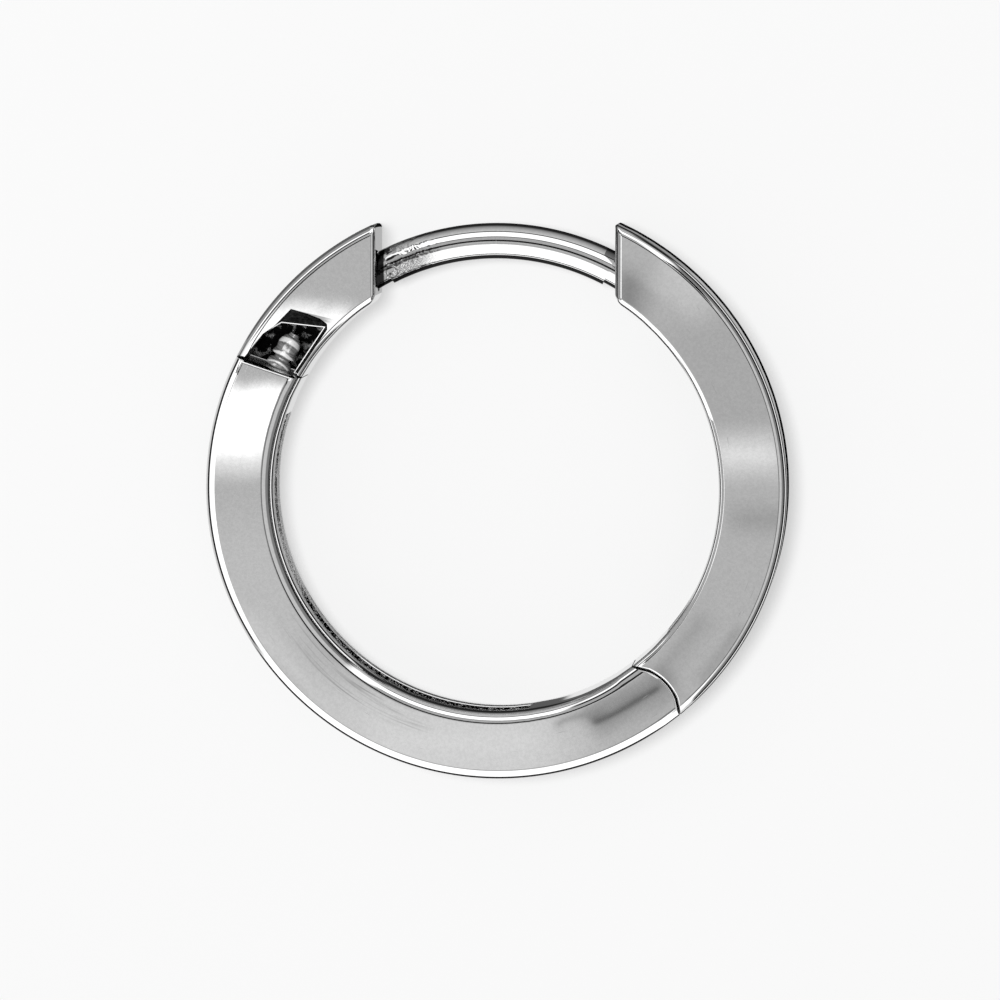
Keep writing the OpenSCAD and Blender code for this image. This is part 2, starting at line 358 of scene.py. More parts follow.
def planform(start, moves):
    """Flat face, outlined from a start by arcs (their centre, their angle, their step) and by points.
    An arc's first and last steps are long enough to take the roundings of its corners."""
    bm = bmesh.new()
    first = last = bm.verts.new(start)
    for move in moves:
        if isinstance(move, Vector):
            last = bmesh.ops.extrude_vert_indiv(bm, verts=[last])["verts"][0]
            last.co = move
            continue
        centre, degrees, step = move
        lead = math.copysign(degrees_at(corner_room, (last.co - centre).length), degrees)
        middle = degrees - 2 * lead
        for turn, steps in ((lead, 1), (middle, max(1, round(abs(middle) / step))), (lead, 1)):
            last = bmesh.ops.spin(bm, geom=[last], cent=centre, axis=(0, 0, 1), angle=math.radians(turn),
                                  steps=steps)["geom_last"][0]
    if (last.co - first.co).length < 0.001:
        bmesh.ops.weld_verts(bm, targetmap={last: first})
    else:
        bmesh.ops.contextual_create(bm, geom=[first, last])
    bmesh.ops.contextual_create(bm, geom=bm.edges[:])
    return bm


def raise_walls(bm, low, high):
    """Makes a solid of a flat face, between two heights."""
    bmesh.ops.translate(bm, verts=bm.verts, vec=(0, 0, low))
    raised = bmesh.ops.extrude_face_region(bm, geom=bm.faces[:])["geom"]
    bmesh.ops.translate(bm, verts=[v for v in raised if isinstance(v, bmesh.types.BMVert)],
                        vec=(0, 0, high - low))
    bmesh.ops.recalc_face_normals(bm, faces=bm.faces)
    return bm


def on_circle(radius, centre=Vector((0, 0, 0))):
    """Test for points on an upright wall round a centre."""
    return lambda co: abs((co - centre).to_2d().length - radius) < nearby


def on_height(*heights):
    """Test for points at one of the heights."""
    return lambda co: min(abs(co.z - height) for height in heights) < nearby


def on_line(point, way):
    """Test for points on an upright plane through a point, along its way."""
    return lambda co: abs((co - point).to_2d().cross(way.to_2d())) < nearby


def is_upright(face):
    """Whether a face stands along the hoop's axis."""
    return abs(face.normal.z) < 0.1


def mark_edges(bm, rim_r, *tests, upright=False):
    """Gives the level edges that pass all the tests, or the upright ones, a rounding's radius."""
    layers = bm.edges.layers.float
    weights = layers.get("bevel_weight_edge") or layers.new("bevel_weight_edge")
    for edge in bm.edges:
        stands = abs(edge.verts[0].co.z - edge.verts[1].co.z) > nearby
        if stands == upright and edge.calc_face_angle(0) > crease and all(
                test(v.co) for test in tests for v in edge.verts):
            edge[weights] = rim_r / widest_rim_r


def inner_wall(bm):
    """Upright faces of the hoop's inner wall."""
    return [f for f in bm.faces if is_upright(f) and all(on_circle(bore_r)(v.co) for v in f.verts)]


def cut_channel(bm, from_a, to_a):
    """Sinks the channel in the inner wall between two angles, where the wall has its upright edges. The
    wall stays as cast there, in the channel and beside it."""
    for height in (mid_z - channel_w / 2, mid_z + channel_w / 2):
        wall = inner_wall(bm)
        geom = set(wall)
        for face in wall:
            geom.update(face.edges)
            geom.update(face.verts)
        bmesh.ops.bisect_plane(bm, geom=list(geom), plane_co=(0, 0, height), plane_no=(0, 0, 1))
    mouth = [f for f in inner_wall(bm) if abs(f.calc_center_median().z - mid_z) < channel_w / 2
             and (angle_of(f.calc_center_median()) - from_a) % 360 < to_a - from_a]
    sunk = bmesh.ops.extrude_face_region(bm, geom=mouth)["geom"]
    bmesh.ops.delete(bm, geom=mouth, context="FACES")
    share = (bore_r + channel_depth) / bore_r
    bmesh.ops.scale(bm, vec=(share, share, 1),
                    verts=[v for v in sunk if isinstance(v, bmesh.types.BMVert)])
    bmesh.ops.recalc_face_normals(bm, faces=bm.faces)
    for face in bm.faces:
        centre = face.calc_center_median()
        depth = centre.to_2d().length - bore_r
        sunk_face = depth > 0.02 and abs(centre.z - mid_z) < channel_w / 2 + 0.01
        beside = is_upright(face) and (angle_of(centre) - from_a) % 360 < to_a - from_a
        if depth < channel_depth + 0.01 and (sunk_face or beside):
            face.material_index = 1


def darken_walls(bm, index, *tests):
    """Leaves the upright walls that pass one of the tests as cast, in the material with the index."""
    for face in bm.faces:
        if is_upright(face) and any(all(test(v.co) for v in face.verts) for test in tests):
            face.material_index = index


def to_object(name, bm, materials):
    """Puts a bmesh in a new object of the scene."""
    mesh = bpy.data.meshes.new(name)
    bm.to_mesh(mesh)
    bm.free()
    for material in materials:
        mesh.materials.append(material)
    made = bpy.data.objects.new(name, mesh)
    bpy.context.scene.collection.objects.link(made)
    return made


def apply_modifiers(piece):
    """Keeps the finished mesh and drops the modifiers that made it."""
    seen_piece = piece.evaluated_get(bpy.context.evaluated_depsgraph_get())
    rough_mesh = piece.data
    piece.data = bpy.data.meshes.new_from_object(seen_piece)
    piece.modifiers.clear()
    bpy.data.meshes.remove(rough_mesh)


def combine(piece, operation, other):
    """Cuts another shape out of a piece, or joins it on, and removes the other shape."""
    change = piece.modifiers.new(operation.lower(), "BOOLEAN")
    change.operation = operation
    change.object = other
    change.solver = "EXACT"
    change.material_mode = "TRANSFER"
    bpy.context.view_layer.update()
    apply_modifiers(piece)
    bpy.data.objects.remove(other)


def round_marked(piece):
    """Rounds the marked edges, each by its own radius."""
    rounding = piece.modifiers.new("rounding", "BEVEL")
    rounding.limit_method = "WEIGHT"
    rounding.width = widest_rim_r
    rounding.segments = rim_steps
    rounding.use_clamp_overlap = False
    rounding.material = 0
    apply_modifiers(piece)


def finish_piece(piece, body, slot, *nodes):
    piece.data.shade_smooth()
    piece.data.set_sharp_from_angle(angle=math.radians(32))
    even = piece.modifiers.new("even_shading", "WEIGHTED_NORMAL")
    even.keep_sharp = True
    apply_modifiers(piece)
    piece.data.transform(Matrix.Scale(METRES_PER_MM, 4) @ Matrix.Translation(hoop_middle))
    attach(piece, body)
    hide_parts(*nodes)


def new_material(name, grey, roughness):
    """Bare metal with an even tone; returns the material and its nodes, for the section's own finish."""
    material = bpy.data.materials.new(name)
    material.use_nodes = True
    shader = material.node_tree.nodes["Principled BSDF"]
    shader.inputs["Base Color"].default_value = (grey, grey, grey * 1.008, 1)
    shader.inputs["Metallic"].default_value = 1.0
    shader.inputs["Roughness"].default_value = roughness
    return material, material.node_tree


def new_group(name, takes, gives):
    """Node group for effects that materials share; returns the group, its inputs and its output node."""
    group = bpy.data.node_groups.new(name, "ShaderNodeTree")
    for label, value in takes:
        kind = "NodeSocketFloat" if isinstance(value, float) else "NodeSocketVector"
        socket = group.interface.new_socket(label, in_out="INPUT", socket_type=kind)
        if isinstance(value, float):
            socket.default_value = value
    for label, kind in gives:
        group.interface.new_socket(label, in_out="OUTPUT", socket_type=kind)
    return group, add_node(group, "NodeGroupInput").outputs, add_node(group, "NodeGroupOutput")


def use_group(tree, group, **inputs):
    """Places a shared group in a material; returns its outputs."""
    return add_node(tree, "ShaderNodeGroup", node_tree=group, inputs=inputs).outputs


def stretch_place(tree, place, stretch):
    """A place with each of its three parts multiplied, which squeezes a pattern along them."""
    return add_node(tree, "ShaderNodeVectorMath", operation="MULTIPLY",
                    inputs={0: place, 1: stretch}).outputs[0]


# Place in mm from the hoop's middle, and place on the ring: radius, way along the band from its lowest
# point, height
ring_space, _, ring_out = new_group(
    "ring_space", [], [("Ring", "NodeSocketVector"), ("Place", "NodeSocketVector")])
here = add_node(ring_space, "ShaderNodeTexCoord").outputs["Object"]
in_mm = add_node(ring_space, "ShaderNodeVectorMath", operation="SCALE",
                 inputs={0: here, "Scale": 1 / METRES_PER_MM}).outputs[0]
place = add_node(ring_space, "ShaderNodeVectorMath", operation="SUBTRACT",
                 inputs={0: in_mm, 1: hoop_middle}).outputs[0]
place_x, place_y, place_z = add_node(ring_space, "ShaderNodeSeparateXYZ", inputs={0: place}).outputs
flat = add_node(ring_space, "ShaderNodeCombineXYZ", inputs={0: place_x, 1: place_y}).outputs[0]
radius = add_node(ring_space, "ShaderNodeVectorMath", operation="LENGTH",
                  inputs={0: flat}).outputs["Value"]
around = math_node(ring_space, "ARCTAN2", place_x, math_node(ring_space, "MULTIPLY", place_y, -1.0))
along = math_node(ring_space, "MULTIPLY", around, mid_r)
ring = add_node(ring_space, "ShaderNodeCombineXYZ", inputs={0: radius, 1: along, 2: place_z}).outputs[0]
ring_space.links.new(ring, ring_out.inputs["Ring"])
ring_space.links.new(place, ring_out.inputs["Place"])

# Slow waves that hand polishing leaves, longer along the band than across it, its haze and hairlines
polish, polish_in, polish_out = new_group(
    "polish_waves", [("Vector", None), ("Wave height", 0.000001)],
    [("Normal", "NodeSocketVector"), ("Haze", "NodeSocketFloat"), ("Hairlines", "NodeSocketFloat")])
waves = add_node(polish, "ShaderNodeTexNoise", inputs={
    "Vector": stretch_place(polish, polish_in["Vector"], (1.0, 0.4, 1.0)),
    "Scale": 0.9, "Detail": 1.0}).outputs["Fac"]
lines = add_node(polish, "ShaderNodeTexNoise", inputs={
    "Vector": stretch_place(polish, polish_in["Vector"], (30.0, 1.3, 30.0)),
    "Scale": 1.0, "Detail": 2.0}).outputs["Fac"]
specks = add_node(polish, "ShaderNodeTexNoise", inputs={
    "Vector": polish_in["Vector"], "Scale": 14.0, "Detail": 3.0, "Roughness": 0.8}).outputs["Fac"]
polish.links.new(add_node(polish, "ShaderNodeBump", inputs={
    "Height": waves, "Distance": polish_in["Wave height"], "Strength": 1.0}).outputs["Normal"],
    polish_out.inputs["Normal"])
polish.links.new(smooth_step(polish, specks, 0.30, 0.70), polish_out.inputs["Haze"])
polish.links.new(smooth_step(polish, lines, 0.68, 0.76), polish_out.inputs["Hairlines"])

# Grain of the plaster mould, in walls that no wheel reaches
casting, casting_in, casting_out = new_group(
    "cast_grain", [("Vector", None), ("Scale", 6.0), ("Grain height", 0.00002)],
    [("Normal", "NodeSocketVector"), ("Grain", "NodeSocketFloat")])
lumps = add_node(casting, "ShaderNodeTexNoise", inputs={
    "Vector": casting_in["Vector"], "Scale": casting_in["Scale"],
    "Detail": 5.0, "Roughness": 0.65}).outputs["Fac"]
cells = add_node(casting, "ShaderNodeTexVoronoi", inputs={
    "Vector": casting_in["Vector"], "Scale": casting_in["Scale"]}).outputs["Distance"]
uneven = math_node(casting, "ADD", math_node(casting, "MULTIPLY", lumps, 0.75),
                   math_node(casting, "MULTIPLY", cells, 0.3))
casting.links.new(uneven, casting_out.inputs["Grain"])
casting.links.new(add_node(casting, "ShaderNodeBump", inputs={
    "Height": uneven, "Distance": casting_in["Grain height"], "Strength": 1.0}).outputs["Normal"],
    casting_out.inputs["Normal"])


def finish_polish(name, grey, roughness, wave_height):
    """Polished metal: a mirror with slow waves, a fine haze, and hairlines along the band. Returns the
    material, its nodes and its places."""
    material, tree = new_material(name, grey, roughness)
    spot = use_group(tree, ring_space)
    worn = use_group(tree, polish, **{"Vector": spot["Ring"], "Wave height": wave_height})
    shader = tree.nodes["Principled BSDF"]
    hazy = mix_colours(tree, worn["Haze"], grey * 1.05, grey * 0.93)
    tree.links.new(mix_colours(tree, worn["Hairlines"], hazy, grey * 0.8), shader.inputs["Base Color"])
    tree.links.new(add_node(tree, "ShaderNodeMapRange", inputs={
        "Value": worn["Hairlines"], "To Min": roughness, "To Max": 0.1}).outputs["Result"],
        shader.inputs["Roughness"])
    tree.links.new(worn["Normal"], shader.inputs["Normal"])
    return material, tree, spot


def finish_cast(name, low_grey, high_grey, roughness, scale, grain_height, grain_from, grain_to):
    """Rough cast metal: dark in its pits, brighter on its grains. Returns the material, its nodes and
    its places."""
    material, tree = new_material(name, high_grey, roughness)
    spot = use_group(tree, ring_space)
    cast = use_group(tree, casting, **{
        "Vector": spot["Place"], "Scale": scale, "Grain height": grain_height})
    shader = tree.nodes["Principled BSDF"]
    grain = smooth_step(tree, cast["Grain"], grain_from, grain_to)
    tree.links.new(mix_colours(tree, grain, low_grey, high_grey), shader.inputs["Base Color"])
    tree.links.new(cast["Normal"], shader.inputs["Normal"])
    return material, tree, spot


polished, tree, spot = finish_polish("polished_silver", 0.88, 0.015, 0.0000006)

# Soft dark drag marks of the polishing wheel, along the inner third of the lower left band
drag_r, drag_along = 6.32, -4.3
across, along, _ = add_node(tree, "ShaderNodeSeparateXYZ", inputs={0: spot["Ring"]}).outputs
smears = add_node(tree, "ShaderNodeTexNoise", inputs={
    "Vector": stretch_place(tree, spot["Ring"], (12.0, 0.35, 1.0)),
    "Scale": 1.0, "Detail": 4.0, "Distortion": 0.6}).outputs["Fac"]
off_across = math_node(tree, "ABSOLUTE", math_node(tree, "SUBTRACT", across, drag_r))
off_along = math_node(tree, "ABSOLUTE", math_node(tree, "SUBTRACT", along, drag_along))
dragged = math_node(tree, "MULTIPLY", smooth_step(tree, off_along, 2.9, 1.4),
                    smooth_step(tree, off_across, 0.42, 0.12))
marked = math_node(tree, "MULTIPLY", smooth_step(tree, smears, 0.44, 0.70), dragged)
shader = tree.nodes["Principled BSDF"]
clean = shader.inputs["Base Color"].links[0].from_socket
tree.links.new(mix_colours(tree, marked, clean, 0.48), shader.inputs["Base Color"])

dark_cast, *_ = finish_cast("dark_cast_silver", 0.012, 0.030, 0.30, 9.0, 0.00002, 0.40, 0.70)
pocket_cast, *_ = finish_cast("pocket_cast_silver", 0.005, 0.30, 0.25, 5.0, 0.00004, 0.57, 0.65)
rough_cast, tree, spot = finish_cast("rough_cast_silver", 0.004, 0.98, 0.15, 15.0, 0.00002, 0.53, 0.60)

# The channel's pits are lighter at the left, and nearly white along a stretch there
along = add_node(tree, "ShaderNodeSeparateXYZ", inputs={0: spot["Ring"]}).outputs[1]
pits = mix_colours(tree, smooth_step(tree, along, -6.9, -7.3), 0.004, 0.35)
lightest_stretch = math_node(tree, "MULTIPLY", smooth_step(tree, along, -7.1, -7.3),
                     smooth_step(tree, along, -9.4, -8.6))
pits = mix_colours(tree, lightest_stretch, pits, 0.90)
grain_mix = tree.nodes["Principled BSDF"].inputs["Base Color"].links[0].from_node
tree.links.new(pits, grain_mix.inputs[6])

pin_place = polar(pin_r, pin_a)
catch_point = polar(mid_r, catch_a)
catch_way = polar(1, catch_a + catch_turn)
catch_outer = line_meets(catch_point, catch_way, hoop_r)
catch_inner = line_meets(catch_point, catch_way, bore_r)
seam_outer_a = seam_meets(hoop_r, 0) + 360
seam_inner_a = seam_meets(bore_r, 0) + 360
channel_start = catch_a + degrees_at(channel_from_seam, bore_r)
channel_end = pin_a + 360 - degrees_at(channel_from_pin, bore_r)
seam_turn = angle_of(polar(bore_r, seam_inner_a) - pin_place) - angle_of(
    polar(hoop_r, seam_outer_a) - pin_place)
hoop_step, seam_step = 1.0, 4.0
origin = Vector((0, 0, 0))

bm = planform(catch_outer, [
    (origin, seam_outer_a - angle_of(catch_outer), hoop_step),
    (pin_place, seam_turn % 360, seam_step),
    (origin, channel_end - seam_inner_a, hoop_step),
    (origin, channel_start - channel_end, hoop_step),
    (origin, angle_of(catch_inner) - channel_start, hoop_step)])
raise_walls(bm, 0, band_w)
cut_channel(bm, channel_start, channel_end)
side_faces = on_height(0, band_w)
channel_edges = on_height(mid_z - channel_w / 2, mid_z + channel_w / 2)
mark_edges(bm, channel_rim_r, on_circle(bore_r), channel_edges)
mark_edges(bm, seam_rim_r, on_circle(seam_r, pin_place))
mark_edges(bm, arm_end_r, on_line(catch_point, catch_way))
mark_edges(bm, outer_rim_r, on_circle(hoop_r), side_faces)
mark_edges(bm, inner_rim_r, on_circle(bore_r), side_faces)
darken_walls(bm, 2, on_circle(seam_r, pin_place))
darken_walls(bm, 3, on_line(catch_point, catch_way))
back_arm = to_object("back_arm_polished", bm, [polished, rough_cast, dark_cast, pocket_cast])
round_marked(back_arm)

tongue_w, tongue_gap, neck_w, knuckle_r = 0.7, 0.05, 1.06, 0.6
open_a, open_room = 45, 6
slot_half = neck_w / 2 + tongue_gap
slot_a = math.radians(open_a + open_room)
reach = 2 * seam_r
pin_turn = Matrix.Translation(pin_place) @ Matrix.Rotation(math.radians(pin_a + 90), 4, "Z")
swing = Vector((-slot_half * math.sin(slot_a), -slot_half * math.cos(slot_a), 0))


def at_pin(bm):
    """Moves a shape from the pin's own frame to the hoop's."""
    bmesh.ops.transform(bm, matrix=pin_turn, verts=bm.verts)
    return bm


def disc(radius, low, high, place=origin, segments=96):
    """Round bar along the hoop's axis between two heights."""
    bm = bmesh.new()
    middle = Matrix.Translation(place + Vector((0, 0, (low + high) / 2)))
    bmesh.ops.create_cone(bm, cap_ends=True, segments=segments, radius1=radius, radius2=radius,
                          depth=high - low, matrix=middle)
    return bm


slot_low, slot_high = mid_z - tongue_w / 2 - tongue_gap, mid_z + tongue_w / 2 + tongue_gap
neck_sweep = at_pin(raise_walls(planform(Vector((0, slot_half, 0)), [
    Vector((reach, slot_half, 0)),
    Vector((reach, -reach, 0)),
    swing + reach * Vector((math.cos(slot_a), -math.sin(slot_a), 0)),
    swing]), slot_low, slot_high))
combine(back_arm, "DIFFERENCE", to_object("neck_sweep", neck_sweep, [rough_cast]))
combine(back_arm, "DIFFERENCE", to_object(
    "knuckle_room", disc(knuckle_r + tongue_gap, slot_low, slot_high, pin_place), [rough_cast]))
pin_skin, seat_gap = 0.3, 0.015
combine(back_arm, "DIFFERENCE", to_object(
    "pin_bore", disc(pin_d / 2 + seat_gap, -cut_over, band_w - pin_skin, pin_place, 64), [rough_cast]))

stud_d, stud_inset, stud_root, root_share = 0.66, 0.74, 0.5, 0.6
stud_place = Matrix.Translation(polar(bore_r + stud_inset, catch_a) + Vector((0, 0, mid_z))) @ \
    Matrix.Rotation(math.radians(catch_a), 4, "Z") @ Matrix.Rotation(math.radians(90), 4, "X")
stud_hole = disc(root_share * stud_d / 2 + seat_gap, -stud_root - seat_gap, cut_over)
bmesh.ops.transform(stud_hole, matrix=stud_place, verts=stud_hole.verts)
combine(back_arm, "DIFFERENCE", to_object("stud_hole", stud_hole, [rough_cast]))
finish_piece(back_arm, "back", "polished_silver", "back_arm")

# Catch block
# The upper left piece of the hoop, silver-soldered to the arm at the straight seam. The window in its
# side face is cast rough, with a ramp at its far end; its end face has the socket for the wire's tip.
end_x = 3.08
block_point = catch_point + polar(seam_gap, catch_a + catch_turn - 90)
block_outer = line_meets(block_point, catch_way, hoop_r)
block_inner = line_meets(block_point, catch_way, bore_r)
window_l, window_depth, ledge_depth, ramp_slope, lip = 1.9, 1.45, 0.4, 40, 0.14
mouth_rim, ledge_rim, mouth_near = 0.025, 0.11, 0.9

# The deep cut stands higher over the block than the shallow one, so that their tops don't meet
deep_over = 0.6
window_corners = [(0.93, -0.20), (0.82, 0.34), (0.75, 0.51), (0.715, 0.81), (0.49, 0.91), (0.30, 0.985),
                  (0.174, 1.00), (0.115, 0.94), (0.115, -0.20)]
deep_corners = [(0.93, -0.20), (0.82, 0.34), (0.70, 0.57), (0.19, 0.89), (0.19, -0.20)]


def end_height(radius):
    """Where an upright end face meets a circle about the hoop's middle, as a height above the middle."""
    return math.sqrt(radius * radius - end_x * end_x)


def rub_edges(bm, edges, rim):
    """Rounds edges of the window, with the roundings bright."""
    rounded = bmesh.ops.bevel(bm, geom=edges, offset=rim, offset_type="OFFSET", segments=3, profile=0.5,
                              affect="EDGES", material=-1, clamp_overlap=True)
    for face in rounded["faces"]:
        face.material_index = 0


def window_corner(corner):
    """Place of a window's corner, from its shares of the band's thickness and of the window's length."""
    return polar(bore_r + corner[0] * band_t, catch_a - degrees_at(corner[1] * window_l, mid_r))


block_tip = Vector((-end_x, end_height(hoop_r), 0))
block_corner = Vector((-end_x, end_height(bore_r), 0))
bm = planform(block_tip, [
    (origin, angle_of(block_outer) - angle_of(block_tip), hoop_step),
    block_inner,
    (origin, angle_of(block_corner) - angle_of(block_inner), hoop_step)])
raise_walls(bm, 0, band_w)
block_end = on_line(Vector((-end_x, 0, 0)), Vector((0, 1, 0)))
mark_edges(bm, seam_rim_r, on_line(block_point, catch_way))
mark_edges(bm, end_rim_r, block_end)
mark_edges(bm, corner_rim_r, block_end, on_circle(bore_r), upright=True)
mark_edges(bm, tip_rim_r, block_end, on_circle(hoop_r), upright=True)
mark_edges(bm, outer_rim_r, on_circle(hoop_r), side_faces)
mark_edges(bm, front_rim_r, on_circle(bore_r), side_faces)
darken_walls(bm, 1, on_line(block_point, catch_way))
catch_block = to_object("catch_block_polished", bm, [polished, dark_cast])
round_marked(catch_block)

shallow = [window_corner(corner) for corner in window_corners]
bm = raise_walls(planform(shallow[0], shallow[1:]), band_w - ledge_depth, band_w + cut_over)
foot = window_corner(deep_corners[2])
foot_way = (window_corner(deep_corners[3]) - foot).normalized()
ramp_way = Matrix.Rotation(math.radians(ramp_slope), 3, foot_way) @ Vector((0, 0, 1))
ramp_foot = foot - lip * foot_way.cross(Vector((0, 0, 1))) + Vector((0, 0, band_w - ledge_depth))
cut = bmesh.ops.bisect_plane(bm, geom=bm.verts[:] + bm.edges[:] + bm.faces[:], clear_inner=True,
                             plane_co=ramp_foot, plane_no=ramp_way)
bmesh.ops.holes_fill(bm, edges=[e for e in cut["geom_cut"] if isinstance(e, bmesh.types.BMEdge)])
bmesh.ops.recalc_face_normals(bm, faces=bm.faces)
window = to_object("window_cut", bm, [dark_cast])
deep = [window_corner(corner) for corner in deep_corners]
combine(window, "UNION", to_object("deep_cut", raise_walls(
    planform(deep[0], deep[1:]), band_w - window_depth, band_w + deep_over), [pocket_cast]))
combine(catch_block, "DIFFERENCE", window)
bm = bmesh.new()
bm.from_mesh(catch_block.data)
mouth = [e for e in bm.edges if all(on_height(band_w)(v.co) for v in e.verts)
         and len({f.material_index for f in e.link_faces}) == 2
         and all(min((v.co - window_corner(c)).to_2d().length for c in window_corners + deep_corners)
                 < mouth_near for v in e.verts)]
rub_edges(bm, mouth, mouth_rim)
ledge = [e for e in bm.edges if all(on_height(band_w - ledge_depth)(v.co) for v in e.verts)
         and e.is_convex and e.calc_face_angle(0) > crease
         and all(f.material_index > 0 for f in e.link_faces)]
rub_edges(bm, ledge, ledge_rim)
bm.to_mesh(catch_block.data)
bm.free()

wire_d, wire_inset, neck_show = 0.92, 1.14, 0.16
tip_d, tip_in, root_in, socket_gap = 0.8, 0.8, 0.8, 0.05
wire_r = hoop_r - wire_inset
face_a = math.degrees(math.acos(end_x / wire_r))
tip_a = face_a - degrees_at(tip_in, wire_r)
root_a = face_a - degrees_at(root_in, wire_r)


def bent_bar(radius, from_a, to_a, step=1.0, sides=48):
    """Round bar along the wire's centre line, with both ends closed."""
    bm = bmesh.new()
    bmesh.ops.create_circle(bm, segments=sides, radius=radius, matrix=Matrix.Rotation(
        math.radians(from_a), 4, "Z") @ Matrix.Translation((wire_r, 0, mid_z)) @ Matrix.Rotation(
        math.radians(90), 4, "X"))
    bmesh.ops.spin(bm, geom=bm.edges[:], cent=origin, axis=(0, 0, 1), angle=math.radians(to_a - from_a),
                   steps=round((to_a - from_a) / step))
    bmesh.ops.holes_fill(bm, edges=[e for e in bm.edges if e.is_boundary])
    bmesh.ops.recalc_face_normals(bm, faces=bm.faces)
    return bm


combine(catch_block, "DIFFERENCE", to_object("tip_socket", bent_bar(
    tip_d / 2 + socket_gap, 100, 180 - tip_a + degrees_at(socket_gap, wire_r)), [rough_cast]))
finish_piece(catch_block, "back", "polished_silver", "catch_block")

# Catch stud
# A small turned post, driven into the end of the back arm: the snap that the window shows. The slopes
# of its foot, its collar and its head carry painted highlights, white bands in its colour that are less
# metallic; the rings of the lathe show between them.
turned, tree = new_material("turned_silver", 0.9, 0.16)
shader = tree.nodes["Principled BSDF"]
spot = use_group(tree, ring_space)
turning = add_node(tree, "ShaderNodeTexNoise", inputs={
    "Vector": stretch_place(tree, spot["Ring"], (1.2, 34.0, 1.2)),
    "Scale": 1.0, "Detail": 2.0}).outputs["Fac"]
# Painted highlights: three white bands across the stud, bowed into crescents, stand in for the
# reflections on the slopes of its foot, collar and head; there the colour is white and less metallic.
from_root = add_node(tree, "ShaderNodeVectorMath", operation="SUBTRACT", inputs={
    0: spot["Place"], 1: polar(bore_r + stud_inset, catch_a)}).outputs[0]
outwards = add_node(tree, "ShaderNodeVectorMath", operation="DOT_PRODUCT",
                    inputs={0: from_root, 1: polar(1, catch_a - 90)}).outputs["Value"]
sideways = add_node(tree, "ShaderNodeVectorMath", operation="DOT_PRODUCT",
                    inputs={0: from_root, 1: polar(1, catch_a)}).outputs["Value"]
bow = math_node(tree, "MULTIPLY", math_node(tree, "MULTIPLY", sideways, sideways), 1.1)
crescent_way = math_node(tree, "ADD", outwards, bow)
painted_highlight, band_blend = 0.0, 0.02
for low, high in [(0.15, 0.20), (0.38, 0.47), (0.73, 0.86)]:
    highlight_band = math_node(tree, "MULTIPLY",
                           smooth_step(tree, crescent_way, low - band_blend, low + band_blend),
                           smooth_step(tree, crescent_way, high + band_blend, high - band_blend))
    painted_highlight = math_node(tree, "ADD", painted_highlight, highlight_band)
dull = mix_colours(tree, smooth_step(tree, turning, 0.35, 0.65), 0.30, 0.65)
tree.links.new(mix_colours(tree, painted_highlight, dull, 1.0), shader.inputs["Base Color"])
tree.links.new(math_node(tree, "SUBTRACT", 0.65, math_node(tree, "MULTIPLY", painted_highlight, 0.45)),
               shader.inputs["Metallic"])
tree.links.new(add_node(tree, "ShaderNodeBump", inputs={
    "Height": turning, "Distance": 0.0000004, "Strength": 1.0}).outputs["Normal"],
    shader.inputs["Normal"])
stud_h = 1.0
outline = [(0, -stud_root), (root_share, -stud_root), (root_share, 0.02), (0.99, 0.03), (1.0, 0.05),
           (1.0, 0.11), (0.99, 0.15), (0.93, 0.19), (0.85, 0.22), (0.66, 0.25), (0.62, 0.29),
           (0.66, 0.33), (0.97, 0.35), (1.0, 0.37), (0.99, 0.39), (0.88, 0.48), (0.84, 0.50),
           (0.86, 0.53), (0.89, 0.60), (0.89, 0.68), (0.87, 0.72), (0.82, 0.77), (0.73, 0.83),
           (0.62, 0.88), (0.46, 0.91), (0.42, 0.94), (0.36, 0.99), (0, stud_h)]
bm = bmesh.new()
last = None
for share, height in outline:
    corner = Vector((share * stud_d / 2, 0, height))
    if last is None:
        last = bm.verts.new(corner)
    else:
        last = bmesh.ops.extrude_vert_indiv(bm, verts=[last])["verts"][0]
        last.co = corner
bmesh.ops.spin(bm, geom=bm.edges[:] + bm.verts[:], cent=origin, axis=(0, 0, 1),
               angle=2 * math.pi, steps=72, use_merge=True)
bmesh.ops.remove_doubles(bm, verts=bm.verts, dist=0.0005)
bmesh.ops.recalc_face_normals(bm, faces=bm.faces)
bmesh.ops.transform(bm, matrix=stud_place, verts=bm.verts)
finish_piece(to_object("catch_stud_turned", bm, [turned]), "back", "turned_silver", "catch_stud")

# Hinge pin
# The axle of the hinge, a length of hard drawn wire. It is pressed in from below through both cheeks
# of the fork, cut flush and polished over.
pin_steel, *_ = finish_polish("pin_steel", 0.72, 0.2, 0.000001)
pin_rim = 0.02
bm = disc(pin_d / 2, seat_gap, band_w - pin_skin - seat_gap, pin_place, 64)
bmesh.ops.bevel(bm, geom=[e for e in bm.edges if e.calc_face_angle(0) > 1], offset=pin_rim,
                offset_type="OFFSET", segments=3, profile=0.5, affect="EDGES", material=-1)
finish_piece(to_object("hinge_pin_drawn", bm, [pin_steel]), "back", "pin_metal", "hinge_pin")

